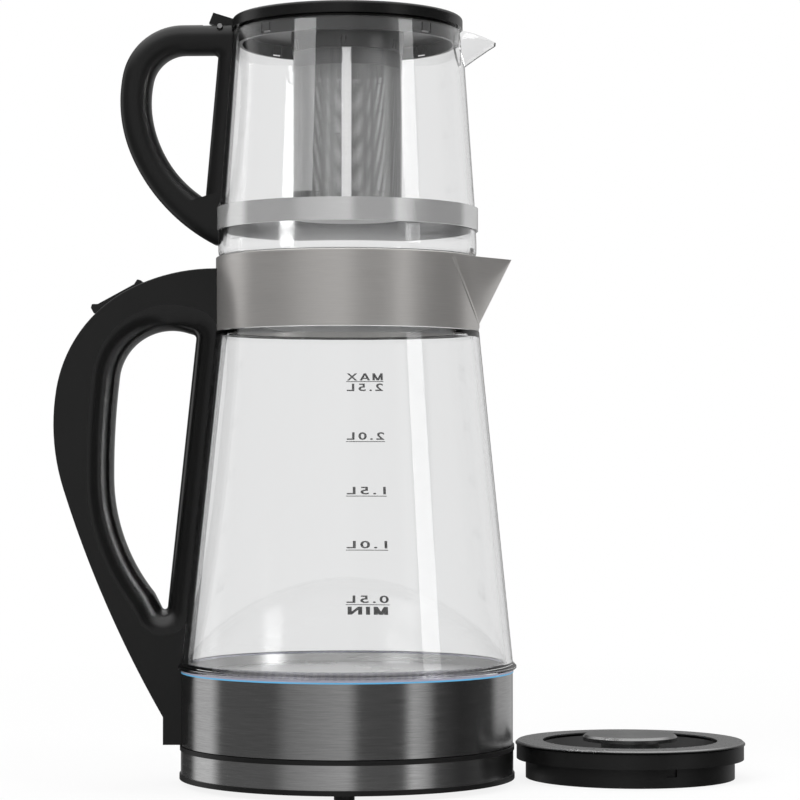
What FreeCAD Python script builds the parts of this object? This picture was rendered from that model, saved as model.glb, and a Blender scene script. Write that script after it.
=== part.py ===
import FreeCAD, Part
import math
import os
import Sketcher

# Driving sizes in millimetres. Radii follow from the base by insets and steps.
SIZES = {
    # power base
    "base_radius": 85.0,
    "foot_height": 2.9,
    "foot_radius": 5.0,
    "foot_inset": 11.0,
    "lip_height": 2.5,
    "trim_inset": 0.7,
    "trim_height": 12.0,
    "trim_wall": 0.8,
    "deck_inset": 0.2,
    "deck_thickness": 2.2,
    "shell_wall": 2.0,
    "shell_floor": 2.2,
    "socket_radius": 17.0,
    "socket_rise": 7.4,
    "slot_depth": 7.0,
    "pin_hole_radius": 3.2,
    "inner_slot_inside": 6.5,
    "inner_slot_outside": 8.5,
    "outer_slot_inside": 11.0,
    "outer_slot_outside": 13.0,
    "contact_height": 1.0,
    "blade_gap": 0.5,
    "gland_radius": 5.5,
    "gland_flange_radius": 5.8,
    "gland_flange_thickness": 1.8,
    "gland_bore": 3.4,
    "gland_height": 11.0,
    "gland_reach": 6.0,
    "boss_radius": 4.4,
    "screw_inset": 23.0,
    "screw_radius": 1.6,
    "screw_head_radius": 2.9,
    "screw_head_height": 1.4,
    # fits
    "swivel_gap": 0.4,
    "loose_gap": 0.3,
    "pin_clearance": 0.05,
    "edge_break": 0.6,
    # kettle connector
    "connector_lift": 1.4,
    "connector_gap": 0.6,
    "connector_wall": 3.0,
    "connector_height": 10.2,
    # kettle body
    "band_inset": 0.9,
    "band_wall": 0.7,
    "band_height": 36.2,
    "cover_thickness": 2.2,
    "chassis_wall": 2.0,
    "ledge_width": 4.4,
    "ledge_thickness": 3.0,
    "light_step": 0.3,
    "light_height": 1.8,
    "plate_thickness": 1.0,
    "plate_drop": 0.2,
    "pan_depth": 4.4,
    "pan_wall": 0.8,
    "gasket_wall": 0.6,
    "gasket_lip": 1.0,
    "gasket_gap": 0.1,
    "spreader_inset": 14.4,
    "spreader_thickness": 3.0,
    "element_inset": 18.0,
    "element_radius": 3.3,
    "terminal_radius": 1.3,
    "thermostat_radius": 24.0,
    "thermostat_height": 13.0,
    "board_width": 7.0,
    "board_thickness": 1.6,
    "board_drop": 4.0,
    "lamp_height": 1.2,
    # kettle glass
    "glass_wall": 3.0,
    "flange_step": 1.85,
    "flange_rise": 1.5,
    "flange_height": 3.6,
    "glass_height": 170.6,
    "neck_height": 11.4,
    "neck_gap": 0.4,
    "top_gasket": 1.5,
    # collar
    "collar_inset": 17.1,
    "glass_step": 0.2,
    "collar_wall": 0.8,
    "collar_height": 37.5,
    "liner_wall": 1.8,
    "liner_rim_wall": 0.8,
    "seat_depth": 4.8,
    "seat_slope": 2.8,
    "seat_thickness": 3.0,
    "mouth_inset": 12.4,
    "mouth_wall": 1.6,
    "mouth_depth": 9.7,
    "window_width": 40.0,
    "window_low": 14.6,
    "window_height": 13.0,
    "window_margin": 1.0,
    # kettle pouring spout
    "spout_reach": 16.7,
    "spout_low": 3.5,
    "spout_side": 13.7,
    "spout_top": 1.0,
    "spout_tip_rise": 0.3,
    "sheet_wall": 0.9,
    # kettle handle: reaches are from the collar's outside, drops from its top, lifts from the band's foot
    "handle_width": 25.0,
    "handle_depth": 12.0,
    "bullnose": 12.3,
    "split_margin": 0.4,
    "handle_root_drop": 5.9,
    "handle_crown_reach": 42.4,
    "handle_crown_drop": 15.9,
    "handle_shoulder_reach": 80.0,
    "handle_shoulder_drop": 67.1,
    "handle_back_reach": 76.3,
    "handle_back_drop": 117.4,
    "handle_foot_reach": 8.6,
    "handle_foot_lift": 14.0,
    "loop_foot_reach": 24.8,
    "loop_foot_lift": 64.2,
    "loop_foot_rounding": 1.5,
    "loop_head_reach": 9.9,
    "loop_head_drop": 39.6,
    "loop_head_rounding": 2.0,
    "loop_crown_reach": 14.6,
    "loop_crown_drop": 38.2,
    "loop_shoulder_reach": 49.0,
    "loop_shoulder_drop": 60.8,
    "loop_back_reach": 51.8,
    "loop_back_drop": 111.9,
    "loop_tail_reach": 30.9,
    "loop_tail_lift": 76.2,
    "handle_screw_drop": 12.0,
    "handle_screw_side": 6.0,
    "handle_screw_length": 13.0,
    "handle_screw_seat": 0.8,
    # wiring inside the handle
    "loom_radius": 1.6,
    "loom_gap": 0.4,
    "loom_top_reach": 56.8,
    "loom_top_drop": 36.0,
    "loom_bend_reach": 62.0,
    "loom_bend_drop": 44.0,
    "loom_shoulder_reach": 70.5,
    "loom_shoulder_drop": 80.0,
    "loom_back_reach": 66.0,
    "loom_back_drop": 124.0,
    "loom_foot_reach": 31.0,
    "loom_foot_lift": 36.5,
    "loom_end_reach": 24.0,
    "loom_end_lift": 24.5,
    # rocker
    "rocker_reach": 49.4,
    "rocker_drop": 20.5,
    "rocker_width": 15.0,
    "rocker_length": 29.0,
    "rocker_peak": 3.5,
    "rocker_chamfer": 1.4,
    "rocker_ear": 4.0,
    "rocker_saddle": 2.1,
    "rocker_side": 1.0,
    "rocker_belly": 5.0,
    "rocker_pin_radius": 1.5,
    "rocker_pin_drop": 1.6,
    "rocker_gap": 0.4,
    "rocker_room": 1.0,
    "pocket_side": 6.0,
    "pocket_depth": 9.0,
    "switch_height": 2.5,
    "switch_width": 10.5,
    # teapot
    "pot_wall": 2.2,
    "pot_floor": 2.6,
    "pot_inset": 1.2,
    "pot_corner": 8.0,
    "pot_straight": 12.0,
    "shoulder_height": 33.0,
    "shoulder_inset": 1.0,
    "rim_inset": 7.1,
    "pot_height": 119.3,
    "pot_band_low": 18.3,
    "pot_band_height": 11.3,
    "pot_band_wall": 0.8,
    "pot_band_depth": 4.0,
    "lip_reach": 16.9,
    "lip_drop": 4.8,
    "lip_depth": 21.0,
    "lip_tip_depth": 1.4,
    "lip_half_width": 13.0,
    "lip_wing": 2.6,
    "lip_root": 6.0,
    # teapot handle: reaches are from the rim, tops and drops from the rim's height, lifts from the bottom
    "grip_width": 18.0,
    "grip_depth": 12.0,
    "grip_rounding": 7.0,
    "ear_width": 10.0,
    "ear_room": 9.0,
    "ear_top": 4.7,
    "crown_reach": 25.3,
    "crown_top": 4.3,
    "back_reach": 56.0,
    "back_drop": 21.4,
    "belly_reach": 51.2,
    "belly_lift": 56.2,
    "tail_reach": 8.9,
    "tail_lift": 11.4,
    "tail_end_reach": 5.0,
    "tail_end_lift": 11.2,
    "hole_head_reach": 7.2,
    "hole_head_drop": 10.7,
    "hole_head_rounding": 2.0,
    "hole_crown_reach": 23.6,
    "hole_crown_drop": 10.8,
    "hole_back_reach": 40.5,
    "hole_back_drop": 24.7,
    "hole_belly_reach": 40.6,
    "hole_belly_lift": 74.3,
    "hole_tail_reach": 14.5,
    "hole_tail_lift": 35.3,
    "hole_foot_reach": 13.6,
    "hole_foot_lift": 35.6,
    # teapot lid
    "lid_overhang": 0.1,
    "lid_thickness": 5.9,
    "lid_gap": 0.2,
    "lid_rounding": 1.6,
    "lid_clearance": 0.5,
    "lid_seal_width": 3.0,
    "lid_seal_inset": 2.0,
    "hinge_reach": 6.14,
    "hinge_rise": 1.3,
    "hinge_pin_radius": 1.25,
    "knuckle_wall": 1.6,
    "knuckle_gap": 0.3,
    "tab_length": 5.9,
    "tab_height": 7.8,
    "tab_root": 12.0,
    # infuser
    "ring_gap": 0.9,
    "ring_wall": 1.8,
    "ring_height": 8.0,
    "ring_roof": 1.4,
    "arm_width": 9.0,
    "arm_thickness": 1.4,
    "arm_length": 14.0,
    "slit_width": 0.8,
    "slit_height": 5.2,
    "slit_rise": 0.8,
    "snap_width": 5.0,
    "infuser_radius": 27.7,
    "infuser_length": 83.0,
    "infuser_wall": 0.6,
    "cuff_step": 1.1,
    "cuff_wall": 2.4,
    "cuff_height": 11.0,
    "cuff_chamfer": 4.0,
    "vent_spacing": 2.4,
    "vent_height": 4.6,
    "vent_rise": 1.0,
    "cap_step": 0.5,
    "cap_rim": 1.5,
    "cap_floor": 1.0,
    # kettle lid standing beside the base
    "lid_gap_to_base": 1.5,
    "kettle_lid_shift": 25.0,
    "skirt_gap": 0.7,
    "skirt_wall": 2.0,
    "skirt_height": 9.8,
    "notch_width": 5.6,
    "notch_height": 4.4,
    "notch_depth": 1.2,
    "flat_lid_overhang": 5.3,
    "flat_lid_height": 19.0,
    "flat_lid_edge": 1.7,
    "flat_lid_bevel": 1.2,
    "dish_inset": 8.9,
    "dish_depth": 9.0,
    "dish_slope": 5.0,
    "dish_floor": 1.8,
    "knob_radius": 24.4,
    "knob_top": 22.0,
    "knob_plate": 3.0,
    "knob_stem_radius": 15.0,
    "knob_thread": 3.0,
}
# The rocker's top lies along the back of the handle, at this angle to the counter.
ROCKER_TILT = 28.7
# The kettle lid's skirt notches, measured from the +X side.
NOTCH_TURN = -72.0

PIECES = []
V = FreeCAD.Vector
UP = V(0, 0, 1)


class Length:
    """A size that carries its value and the sheet expression that gives it."""

    def __init__(self, value, text):
        self.value = value
        self.text = text

    def join(self, other, sign, value, flip=False):
        first, second = (other, self) if flip else (self, other)
        return Length(value, f"({words(first)} {sign} {words(second)})")

    def __add__(self, other):
        return self.join(other, "+", self.value + number(other))

    def __radd__(self, other):
        return self.join(other, "+", number(other) + self.value, True)

    def __sub__(self, other):
        return self.join(other, "-", self.value - number(other))

    def __rsub__(self, other):
        return self.join(other, "-", number(other) - self.value, True)

    def __mul__(self, other):
        return self.join(other, "*", self.value * number(other))

    def __rmul__(self, other):
        return self.join(other, "*", number(other) * self.value, True)

    def __truediv__(self, other):
        return self.join(other, "/", self.value / number(other))

    def __neg__(self):
        return self.join(-1.0, "*", -self.value)


def number(size):
    return size.value if isinstance(size, Length) else float(size)


def words(size):
    return size.text if isinstance(size, Length) else repr(float(size))


class Sheet:
    """Gives each named size as a Length bound to the spreadsheet."""

    def __init__(self, doc):
        self.cells = doc.addObject("Spreadsheet::Sheet", "sizes")
        for row, (name, value) in enumerate(SIZES.items(), start=1):
            self.cells.set(f"A{row}", name.replace("_", " "))
            self.cells.set(f"B{row}", repr(value))
            self.cells.setAlias(f"B{row}", name)

    def __getattr__(self, name):
        return Length(SIZES[name], f"sizes.{name}")


doc = FreeCAD.newDocument("tea_maker")
s = Sheet(doc)
doc.recompute()


def bind(obj, prop, size):
    """Sets a property from the sheet, or from a plain number."""
    if isinstance(size, Length):
        obj.setExpression(prop, size.text)
    else:
        setattr(obj, prop, size)


def node(obj, label):
    """Marks an object as a finished piece that is written to its own file."""
    obj.Label = label
    PIECES.append(obj)
    return obj


class Outline:
    """A closed outline of straight lines, tangent arcs and rounded corners."""

    def __init__(self, sketch, start, rounding=None):
        self.sketch = sketch
        self.points = [start]
        self.kinds = []
        self.rounds = {} if rounding is None else {0: rounding}

    def line(self, x, y, rounding=None):
        self.kinds.append("line")
        self.points.append((x, y))
        if rounding is not None:
            self.rounds[len(self.points) - 1] = rounding
        return self

    def arc(self, x, y):
        """An arc to a point, tangent to the piece before it."""
        self.kinds.append("arc")
        self.points.append((x, y))
        return self

    def close(self):
        """Draws the outline, each corner held at its own place."""
        count = len(self.points)
        self.kinds.append("line")
        flat = [V(number(x), number(y), 0) for x, y in self.points]
        starts = list(flat)
        ends = [flat[(i + 1) % count] for i in range(count)]
        for corner, rounding in self.rounds.items():
            before = (flat[corner - 1] - flat[corner]).normalize()
            after = (flat[(corner + 1) % count] - flat[corner]).normalize()
            reach = number(rounding) / math.tan(before.getAngle(after) / 2)
            ends[corner - 1] = flat[corner] + before * reach
            starts[corner] = flat[corner] + after * reach
        pieces = []
        heading = None
        for i, kind in enumerate(self.kinds):
            a, b = starts[i], ends[i]
            if kind == "line":
                geometry = Part.LineSegment(a, b)
                ends_at = (1, 2)
                heading = (b - a).normalize()
            else:
                geometry, ends_at, heading = self.tangent_arc(a, b, heading)
            pieces.append((self.sketch.addGeometry(geometry), *ends_at))
        for i in range(count):
            here, after = pieces[i], pieces[(i + 1) % count]
            corner = (i + 1) % count
            if corner in self.rounds:
                self.round_corner(here, after, corner, ends[i], starts[corner])
                continue
            tangent = self.kinds[corner] == "arc"
            kind = "Tangent" if tangent else "Coincident"
            self.rule(kind, here[0], here[2], after[0], after[1])
            self.hold(here[0], here[2], self.points[corner])
        return self.sketch

    def rule(self, *values):
        return self.sketch.addConstraint(Sketcher.Constraint(*values))

    def hold(self, piece, end, point):
        """Holds an end at its place measured from the origin."""
        for kind, axis, size in zip(("DistanceX", "DistanceY"), (-2, -1), point):
            if not isinstance(size, Length) and size == 0:
                self.rule("PointOnObject", piece, end, axis)
                continue
            made = self.rule(kind, -1, 1, piece, end, number(size))
            if isinstance(size, Length):
                self.sketch.setExpression(f"Constraints[{made}]", size.text)

    def round_corner(self, here, after, corner, a, b):
        radius = self.rounds[corner]
        apex = self.points[corner]
        apex_at = V(number(apex[0]), number(apex[1]), 0)
        middle = (a + b) * 0.5 - apex_at
        centre = apex_at + middle * ((a - apex_at).Length ** 2 / middle.Length ** 2)
        start, end, ends_at = ccw(centre, a, b)
        circle = Part.Circle(centre, UP, number(radius))
        arc = self.sketch.addGeometry(Part.ArcOfCircle(circle, start, end))
        point = self.sketch.addGeometry(Part.Point(apex_at), True)
        self.rule("Tangent", here[0], here[2], arc, ends_at[0])
        self.rule("Tangent", arc, ends_at[1], after[0], after[1])
        made = self.rule("Radius", arc, number(radius))
        if isinstance(radius, Length):
            self.sketch.setExpression(f"Constraints[{made}]", radius.text)
        self.hold(point, 1, apex)
        self.rule("PointOnObject", point, 1, here[0])
        self.rule("PointOnObject", point, 1, after[0])

    def tangent_arc(self, a, b, heading):
        chord = b - a
        normal = V(-heading.y, heading.x, 0)
        offset = chord.dot(chord) / (2 * chord.dot(normal))
        centre = a + normal * offset
        turn_left = offset > 0
        start, end, ends_at = ccw(centre, a, b, turn_left)
        arc = Part.ArcOfCircle(Part.Circle(centre, UP, abs(offset)), start, end)
        spoke = (b - centre).normalize()
        leave = V(-spoke.y, spoke.x, 0) if turn_left else V(spoke.y, -spoke.x, 0)
        return arc, ends_at, leave


def ccw(centre, a, b, left=None):
    """Start and end angles of an anticlockwise arc, and which end comes first."""
    first = math.atan2(a.y - centre.y, a.x - centre.x)
    last = math.atan2(b.y - centre.y, b.x - centre.x)
    if left is None:
        left = (last - first) % (2 * math.pi) < math.pi
    if left:
        return first, first + (last - first) % (2 * math.pi), (1, 2)
    return last, last + (first - last) % (2 * math.pi), (2, 1)


def new_body(name):
    body = doc.addObject("PartDesign::Body", name)
    planes = {item.Role: item for item in body.Origin.OriginFeatures}
    return body, planes


def sketch_on(body, plane, name):
    sketch = body.newObject("Sketcher::SketchObject", name)
    sketch.AttachmentSupport = (plane, [""])
    sketch.MapMode = "FlatFace"
    return sketch


def draw(sketch, corners):
    """A closed outline from corners (x, y) or (x, y, rounding)."""
    outline = Outline(sketch, corners[0])
    for corner in corners[1:]:
        outline.line(*corner)
    return outline.close()


def turned(name, corners, angle=360.0):
    """A piece turned about the upright axis from its half section."""
    body, planes = new_body(name)
    sketch = sketch_on(body, planes["XZ_Plane"], f"{name}_section")
    draw(sketch, corners)
    turn = body.newObject("PartDesign::Revolution", f"{name}_turn")
    turn.Profile = sketch
    turn.ReferenceAxis = (sketch, ["V_Axis"])
    turn.Angle = angle
    return body


def tube(name, inside, outside, low, high):
    return turned(name, [(inside, low), (outside, low), (outside, high), (inside, high)])


def disc(name, radius, low, high):
    return turned(name, [(0, low), (radius, low), (radius, high), (0, high)])


def rod(name, radius, start, length, direction=UP):
    """A round bar from a start point along a direction."""
    bar = doc.addObject("Part::Cylinder", name)
    bind(bar, "Radius", radius)
    bind(bar, "Height", length)
    place(bar, start, FreeCAD.Rotation(UP, direction))
    return bar


def block(name, corner, size, turn=None):
    """A box from its low corner."""
    box = doc.addObject("Part::Box", name)
    for prop, value in zip(("Length", "Width", "Height"), size):
        bind(box, prop, value)
    place(box, corner, turn or FreeCAD.Rotation())
    return box


def place(obj, start, turn):
    obj.Placement = FreeCAD.Placement(V(*(number(part) for part in start)), turn)
    for axis, part in zip("xyz", start):
        if isinstance(part, Length):
            obj.setExpression(f"Placement.Base.{axis}", part.text)


def cut(name, base, *tools):
    """A piece with other shapes taken out of it."""
    for index, tool in enumerate(tools):
        taken = doc.addObject("Part::Cut", f"{name}_cut_{index}")
        taken.Base = base
        taken.Tool = tool
        base = taken
    return base


def fuse(name, *pieces):
    joined = doc.addObject("Part::MultiFuse", name)
    joined.Shapes = list(pieces)
    return joined


def common(name, base, tool):
    shared = doc.addObject("Part::Common", name)
    shared.Base = base
    shared.Tool = tool
    return shared


def group(name, pieces):
    """Separate solids that share one node."""
    made = doc.addObject("Part::Compound", name)
    made.Links = list(pieces)
    return made


def around(count, first=0.0):
    """Evenly spaced directions about the upright axis."""
    for index in range(count):
        angle = math.radians(first + 360.0 * index / count)
        yield index, math.cos(angle), math.sin(angle)


def screw(name, start, length, direction=UP):
    """A round-headed screw that points along a direction from its head."""
    head = rod(f"{name}_head", s.screw_head_radius, start, s.screw_head_height, direction)
    shank = rod(f"{name}_shank", s.screw_radius, start, length, direction)
    return fuse(name, head, shank)


def swung_block(name, corner, size, x, y):
    """A box set out along +X, then swung about the upright axis to a direction."""
    start = (corner[0] * x - corner[1] * y, corner[0] * y + corner[1] * x, corner[2])
    return block(name, start, size, FreeCAD.Rotation(UP, math.degrees(math.atan2(y, x))))


# Heights, each built on the one below.
shell_low = s.foot_height
floor_top = shell_low + s.shell_floor
trim_low = shell_low + s.lip_height
deck_low = trim_low + s.trim_height
deck_top = deck_low + s.deck_thickness
socket_top = deck_top + s.socket_rise
slot_low = socket_top - s.slot_depth
connector_low = deck_top + s.connector_lift
connector_top = connector_low + s.connector_height
connector_roof = socket_top + s.connector_gap * 2
band_low = deck_top + s.swivel_gap
band_top = band_low + s.band_height
cover_low = band_low + s.swivel_gap
cover_top = cover_low + s.cover_thickness
pan_top = band_top - s.plate_drop
pan_low = pan_top - s.plate_thickness
pan_rim = pan_top + s.pan_depth
ledge_low = pan_low - s.ledge_thickness
board_top = ledge_low - s.board_drop
board_low = board_top - s.board_thickness
spreader_low = pan_low - s.spreader_thickness
element_height = spreader_low - s.element_radius
glass_low = band_top + s.light_height
glass_foot = glass_low + s.flange_height
glass_top = glass_low + s.glass_height
neck_top = glass_top + s.neck_height
liner_low = neck_top + s.top_gasket
collar_low = glass_top + s.swivel_gap
collar_top = collar_low + s.collar_height
seat_top = collar_top - s.seat_depth
pot_low = seat_top + s.loose_gap
shoulder = pot_low + s.shoulder_height
pot_top = pot_low + s.pot_height
ring_top = pot_top + s.loose_gap + s.arm_thickness
ring_low = ring_top - s.ring_height
roof_low = ring_top - s.ring_roof
cuff_low = roof_low - s.cuff_height
mesh_low = cuff_low - s.infuser_length
lid_low = ring_top + s.lid_gap
lid_top = lid_low + s.lid_thickness
hinge_height = ring_top + s.hinge_rise

# Radii, each built on the one outside it.
deck_radius = s.base_radius - s.deck_inset
trim_radius = s.base_radius - s.trim_inset
shell_outside = trim_radius - s.trim_wall
shell_inside = shell_outside - s.shell_wall
screw_circle = s.base_radius - s.screw_inset
connector_inside = s.socket_radius + s.connector_gap
connector_outside = connector_inside + s.connector_wall
band_radius = s.base_radius - s.band_inset
light_radius = band_radius + s.light_step
flange_radius = band_radius + s.flange_step
chassis_outside = band_radius - s.band_wall
chassis_inside = chassis_outside - s.chassis_wall
board_inside = chassis_inside - s.board_width
board_middle = board_inside + s.board_width / 2
glass_inside = band_radius - s.glass_wall
gasket_outside = glass_inside - s.gasket_gap
pan_radius = gasket_outside - s.gasket_wall
pan_inside = pan_radius - s.pan_wall
spreader_radius = pan_radius - s.spreader_inset
element_circle = spreader_radius - s.element_inset
collar_radius = band_radius - s.collar_inset
glass_top_radius = collar_radius + s.glass_step
liner_outside = collar_radius - s.collar_wall
liner_inside = liner_outside - s.liner_wall
neck_radius = liner_outside - s.neck_gap
neck_inside = neck_radius - s.glass_wall
mouth_radius = collar_radius - s.mouth_inset
mouth_outside = mouth_radius + s.mouth_wall
pot_radius = collar_radius - s.pot_inset
shoulder_radius = pot_radius - s.shoulder_inset
rim_radius = pot_radius - s.rim_inset
pot_band_radius = pot_radius + s.pot_band_wall
lid_radius = rim_radius + s.lid_overhang
ring_radius = rim_radius - s.pot_wall - s.ring_gap
ring_inside = ring_radius - s.ring_wall
cuff_radius = s.infuser_radius + s.cuff_step
cuff_inside = cuff_radius - s.cuff_wall
mesh_inside = s.infuser_radius - s.infuser_wall
hinge_x = -(rim_radius + s.hinge_reach)
skirt_radius = mouth_radius - s.skirt_gap
flat_lid_radius = skirt_radius + s.flat_lid_overhang
dish_radius = skirt_radius - s.dish_inset
screw_hole = s.screw_radius + s.pin_clearance


def base_feet():
    circle = s.base_radius - s.foot_inset
    feet = [
        rod(f"foot_{i}", s.foot_radius, (circle * x, circle * y, 0), s.foot_height)
        for i, x, y in around(4, -90)
    ]
    node(group("base_feet", feet), "base_feet")


def gland_hole(name, radius):
    """The cord's hole through the back of the base."""
    start = (0, s.base_radius - 2 * s.gland_reach, s.gland_height)
    return rod(name, radius, start, s.gland_reach * 3, V(0, 1, 0))


def base_shell():
    cup = turned("shell_cup", [
        (0, shell_low), (s.base_radius, shell_low), (s.base_radius, trim_low),
        (shell_outside, trim_low), (shell_outside, deck_low), (shell_inside, deck_low),
        (shell_inside, floor_top), (0, floor_top),
    ])
    bosses, holes, sinks, screws = [], [], [], []
    sink_top = floor_top + s.swivel_gap
    for i, x, y in around(3, 30):
        spot = (screw_circle * x, screw_circle * y)
        bosses.append(rod(f"boss_{i}", s.boss_radius, (*spot, shell_low), deck_low - shell_low))
        holes.append(rod(f"boss_hole_{i}", screw_hole, (*spot, 0), deck_low))
        sinks.append(rod(f"boss_sink_{i}", s.screw_head_radius + s.pin_clearance, (*spot, 0), sink_top))
        head_low = sink_top - s.screw_head_height
        screws.append(screw(f"base_screw_{i}", (*spot, head_low), deck_low - head_low))
    whole = fuse("shell_whole", cup, *bosses)
    gland = gland_hole("shell_gland_hole", s.gland_radius)
    node(cut("shell", whole, *holes, *sinks, gland), "base_shell")
    node(group("base_screw_set", screws), "base_screws")


def base_ring_and_deck():
    ring = tube("trim", shell_outside, trim_radius, trim_low, deck_low)
    node(cut("trim_ring", ring, gland_hole("trim_gland_hole", s.gland_radius)), "base_trim_ring")
    lip_low = deck_low - s.deck_thickness
    lip_outside = shell_inside - s.pin_clearance
    lip_inside = lip_outside - s.shell_wall
    deck = turned("deck", [
        (s.socket_radius, deck_low), (lip_inside, deck_low), (lip_inside, lip_low),
        (lip_outside, lip_low), (lip_outside, deck_low), (deck_radius, deck_low),
        (deck_radius, deck_top), (s.socket_radius, deck_top),
    ])
    room = gland_hole("deck_gland_hole", s.gland_flange_radius + s.loose_gap)
    node(cut("deck_plate", deck, room), "base_top_plate")


def cord_gland():
    """A bush in the back wall that the mains lead passes through."""
    inner = s.base_radius - s.gland_reach
    body = rod("gland_body", s.gland_radius, (0, inner, s.gland_height), s.gland_reach, V(0, 1, 0))
    flange_end = shell_inside - s.gland_flange_thickness - s.swivel_gap
    flange = rod("gland_flange", s.gland_flange_radius, (0, flange_end, s.gland_height),
                 s.gland_flange_thickness, V(0, 1, 0))
    bore = gland_hole("gland_bore_tool", s.gland_bore)
    node(cut("gland", fuse("gland_whole", body, flange), bore), "base_cord_gland")


def base_socket():
    column = turned("socket_column", [
        (0, floor_top), (s.socket_radius, floor_top), (s.socket_radius, socket_top),
        (s.outer_slot_outside, socket_top), (s.outer_slot_outside, slot_low),
        (s.outer_slot_inside, slot_low), (s.outer_slot_inside, socket_top),
        (s.inner_slot_outside, socket_top), (s.inner_slot_outside, slot_low),
        (s.inner_slot_inside, slot_low), (s.inner_slot_inside, socket_top),
        (s.pin_hole_radius, socket_top), (s.pin_hole_radius, slot_low), (0, slot_low),
    ])
    node(column, "base_socket")
    top = slot_low + s.contact_height
    contacts = [
        disc("centre_contact", s.pin_hole_radius, slot_low, top),
        tube("inner_contact", s.inner_slot_inside, s.inner_slot_outside, slot_low, top),
        tube("outer_contact", s.outer_slot_inside, s.outer_slot_outside, slot_low, top),
    ]
    node(group("socket_contacts", contacts), "socket_contact_rings")


def kettle_connector():
    """The round plug under the kettle that turns on the base socket."""
    housing = turned("connector_housing", [
        (connector_inside, connector_low), (connector_outside, connector_low),
        (connector_outside, connector_top), (0, connector_top), (0, connector_roof),
        (connector_inside, connector_roof),
    ])
    node(housing, "kettle_connector")
    low = slot_low + s.contact_height + s.blade_gap
    blades = [
        rod("centre_blade", s.pin_hole_radius - s.blade_gap, (0, 0, low), connector_roof - low),
        tube("inner_blade", s.inner_slot_inside + s.blade_gap, s.inner_slot_outside - s.blade_gap,
             low, connector_roof),
        tube("outer_blade", s.outer_slot_inside + s.blade_gap, s.outer_slot_outside - s.blade_gap,
             low, connector_roof),
    ]
    node(group("connector_blades", blades), "connector_pins")


def kettle_base():
    """The band, the chassis inside it and the closed cover underneath."""
    node(tube("band", chassis_outside, band_radius, band_low, band_top), "body_band")
    ledge_inside = chassis_inside - s.ledge_width
    chassis = turned("chassis", [
        (chassis_inside, cover_top), (chassis_outside, cover_top), (chassis_outside, band_top),
        (chassis_inside, band_top), (chassis_inside, pan_low), (ledge_inside, pan_low),
        (ledge_inside, ledge_low), (chassis_inside, ledge_low),
    ])
    node(chassis, "kettle_chassis")
    node(tube("light", chassis_inside, light_radius, band_top, glass_low), "light_ring")
    holes, screws = [], []
    for i, x, y in around(3, 90):
        spot = (board_middle * x, board_middle * y)
        holes.append(rod(f"cover_hole_{i}", screw_hole, (*spot, 0), cover_top))
        screws.append(rod(f"cover_screw_{i}", s.screw_radius, (*spot, cover_low), board_low - cover_low))
    cover = tube("cover", connector_outside + s.loose_gap, chassis_outside - s.pin_clearance, cover_low,
                 cover_top)
    node(cut("cover_drilled", cover, *holes), "kettle_bottom_cover")
    node(group("cover_screws", screws), "bottom_cover_screws")
    node(tube("board", board_inside, chassis_inside - s.pin_clearance, board_low, board_top), "led_board")
    lamps = [
        rod(f"lamp_{i}", s.board_thickness, (board_middle * x, board_middle * y, board_top), s.lamp_height)
        for i, x, y in around(8)
    ]
    node(group("lamps", lamps), "led_lamps")


def ring_bar(name, circle, height, radius, angle):
    """A round bar bent about the upright axis."""
    body, planes = new_body(name)
    sketch = sketch_on(body, planes["XZ_Plane"], f"{name}_section")
    bar = sketch.addGeometry(Part.Circle(V(number(circle), number(height), 0), UP, number(radius)))
    rules = [("DistanceX", -1, 1, bar, 3, circle), ("DistanceY", -1, 1, bar, 3, height),
             ("Radius", bar, radius)]
    for *rule, size in rules:
        made = sketch.addConstraint(Sketcher.Constraint(*rule, number(size)))
        sketch.setExpression(f"Constraints[{made}]", size.text)
    turn = body.newObject("PartDesign::Revolution", f"{name}_turn")
    turn.Profile = sketch
    turn.ReferenceAxis = (sketch, ["V_Axis"])
    turn.Angle = angle
    return body


def heater():
    """The steel floor of the kettle and what heats it."""
    pan = turned("pan", [
        (0, pan_low), (pan_radius, pan_low), (pan_radius, pan_rim), (pan_inside, pan_rim),
        (pan_inside, pan_top), (0, pan_top),
    ])
    node(pan, "heater_plate")
    node(disc("spreader", spreader_radius, spreader_low, pan_low), "heat_spreader")
    node(ring_bar("element", element_circle, element_height, s.element_radius, 320.0), "heating_element")
    pins = [
        rod(f"terminal_{i}", s.terminal_radius,
            (element_circle * x, element_circle * y, element_height - s.element_radius * 3),
            s.element_radius * 2)
        for i, x, y in around(2, 10)
    ]
    node(group("terminals", pins), "element_terminals")
    box_low = connector_top + s.loose_gap
    node(disc("thermostat", s.thermostat_radius, box_low, box_low + s.thermostat_height),
         "thermostat_control")
    gasket_top = pan_rim + s.gasket_lip
    gasket = turned("gasket", [
        (pan_radius, pan_top), (gasket_outside, pan_top), (gasket_outside, gasket_top),
        (pan_inside, gasket_top), (pan_inside, pan_rim), (pan_radius, pan_rim),
    ])
    node(gasket, "glass_base_gasket")


def kettle_glass():
    edge = s.edge_break
    wall = turned("glass_wall_shape", [
        (glass_inside, glass_low), (flange_radius - edge, glass_low), (flange_radius, glass_low + edge),
        (flange_radius, glass_low + s.flange_rise), (band_radius, glass_foot),
        (glass_top_radius, glass_top), (neck_radius, glass_top + edge), (neck_radius, neck_top),
        (neck_inside, neck_top), (neck_inside, glass_top),
        (glass_top_radius - s.glass_wall, glass_top - s.glass_wall), (glass_inside, glass_foot),
    ])
    node(wall, "kettle_glass")
    node(tube("top_gasket_shape", neck_inside, liner_outside - s.pin_clearance, neck_top, liner_low),
         "glass_top_gasket")


def window(name):
    """The pouring window through the collar behind the spout."""
    start = mouth_outside + s.window_margin
    return block(name, (start, s.window_width * -0.5, collar_low + s.window_low),
                 (s.spout_reach, s.window_width, s.window_height))


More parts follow.
